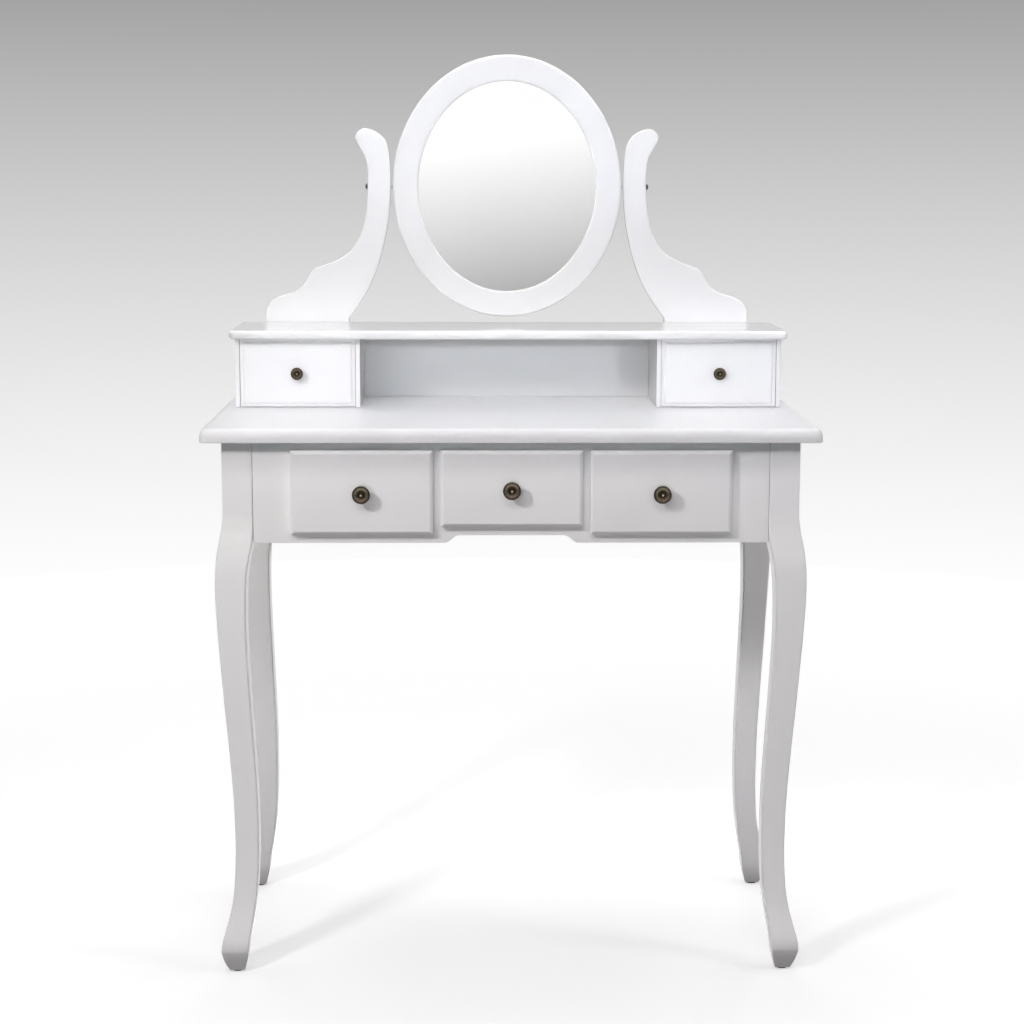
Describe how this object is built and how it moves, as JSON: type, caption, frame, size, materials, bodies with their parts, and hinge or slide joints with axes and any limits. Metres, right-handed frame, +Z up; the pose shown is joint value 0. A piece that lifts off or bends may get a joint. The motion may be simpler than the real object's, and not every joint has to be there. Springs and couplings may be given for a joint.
{
  "type": "dressing table",
  "caption": "White dressing table with curved legs, drawers under the top, a low shelf unit with small drawers, and an oval mirror that turns between scroll brackets.",
  "frame": {"origin": "on the floor, under the middle of the bounding box", "axes": "+X to the right for a person in front, +Y to the back, +Z up"},
  "size_m": [0.8, 0.431, 1.2207],
  "materials": {
    "white_lacquer": "white satin lacquer over wood and fibreboard",
    "bare_wood": "bare, sanded",
    "hardboard": "thin pressed board",
    "antique_bronze": "dark antique bronze with worn rims",
    "mirror_glass": "clear silvered glass",
    "glide_plastic": "dark matte plastic",
    "dark_steel": "blackened steel",
    "plated_steel": "bright zinc-plated steel"
  },
  "bodies": {
    "table": {"table_top": "white_lacquer", "leg_front_left": "white_lacquer", "leg_front_right": "white_lacquer", "leg_back_left": "white_lacquer", "leg_back_right": "white_lacquer", "glide_front_left": "glide_plastic", "glide_front_right": "glide_plastic", "glide_back_left": "glide_plastic", "glide_back_right": "glide_plastic", "front_apron": "white_lacquer", "side_apron_left": "white_lacquer", "side_apron_right": "white_lacquer", "back_apron": "white_lacquer", "runner_inner_left": "bare_wood", "runner_inner_right": "bare_wood", "runner_outer_left": "bare_wood", "runner_outer_right": "bare_wood", "hutch_top": "white_lacquer", "hutch_side_left": "white_lacquer", "hutch_side_right": "white_lacquer", "hutch_divider_left": "white_lacquer", "hutch_divider_right": "white_lacquer", "hutch_back": "white_lacquer", "hutch_floor_left": "white_lacquer", "hutch_floor_right": "white_lacquer", "hutch_rail_left": "white_lacquer", "hutch_rail_right": "white_lacquer", "mirror_bracket_left": "white_lacquer", "mirror_bracket_right": "white_lacquer", "bracket_screw_left_1": "dark_steel", "bracket_screw_left_2": "dark_steel", "bracket_screw_right_1": "dark_steel", "bracket_screw_right_2": "dark_steel"},
    "drawer_left": {"drawer_left_front": "white_lacquer", "drawer_left_box": "bare_wood", "drawer_left_floor": "hardboard", "drawer_left_knob": "antique_bronze"},
    "drawer_middle": {"drawer_middle_front": "white_lacquer", "drawer_middle_box": "bare_wood", "drawer_middle_floor": "hardboard", "drawer_middle_knob": "antique_bronze"},
    "drawer_right": {"drawer_right_front": "white_lacquer", "drawer_right_box": "bare_wood", "drawer_right_floor": "hardboard", "drawer_right_knob": "antique_bronze"},
    "small_drawer_left": {"small_drawer_left_front": "white_lacquer", "small_drawer_left_box": "bare_wood", "small_drawer_left_floor": "hardboard", "small_drawer_left_knob": "antique_bronze"},
    "small_drawer_right": {"small_drawer_right_front": "white_lacquer", "small_drawer_right_box": "bare_wood", "small_drawer_right_floor": "hardboard", "small_drawer_right_knob": "antique_bronze"},
    "mirror": {"mirror_frame": "white_lacquer", "mirror_glass": "mirror_glass", "mirror_backing": "hardboard", "pivot_bolt_left": "dark_steel", "pivot_bolt_right": "dark_steel", "pivot_spacer_left": "plated_steel", "pivot_spacer_right": "plated_steel"}
  },
  "joints": [
    {"name": "drawer_left_slide", "type": "slide", "parent": "table", "child": "drawer_left", "axis": [0, -1, 0], "range_m": [0, 0.24]},
    {"name": "drawer_middle_slide", "type": "slide", "parent": "table", "child": "drawer_middle", "axis": [0, -1, 0], "range_m": [0, 0.24]},
    {"name": "drawer_right_slide", "type": "slide", "parent": "table", "child": "drawer_right", "axis": [0, -1, 0], "range_m": [0, 0.24]},
    {"name": "small_drawer_left_slide", "type": "slide", "parent": "table", "child": "small_drawer_left", "axis": [0, -1, 0], "range_m": [0, 0.085]},
    {"name": "small_drawer_right_slide", "type": "slide", "parent": "table", "child": "small_drawer_right", "axis": [0, -1, 0], "range_m": [0, 0.085]},
    {"name": "mirror_tilt", "type": "hinge", "parent": "table", "child": "mirror", "pos_m": [0, 0.20795, 1.0342], "axis": [1, 0, 0], "continuous": true}
  ]
}
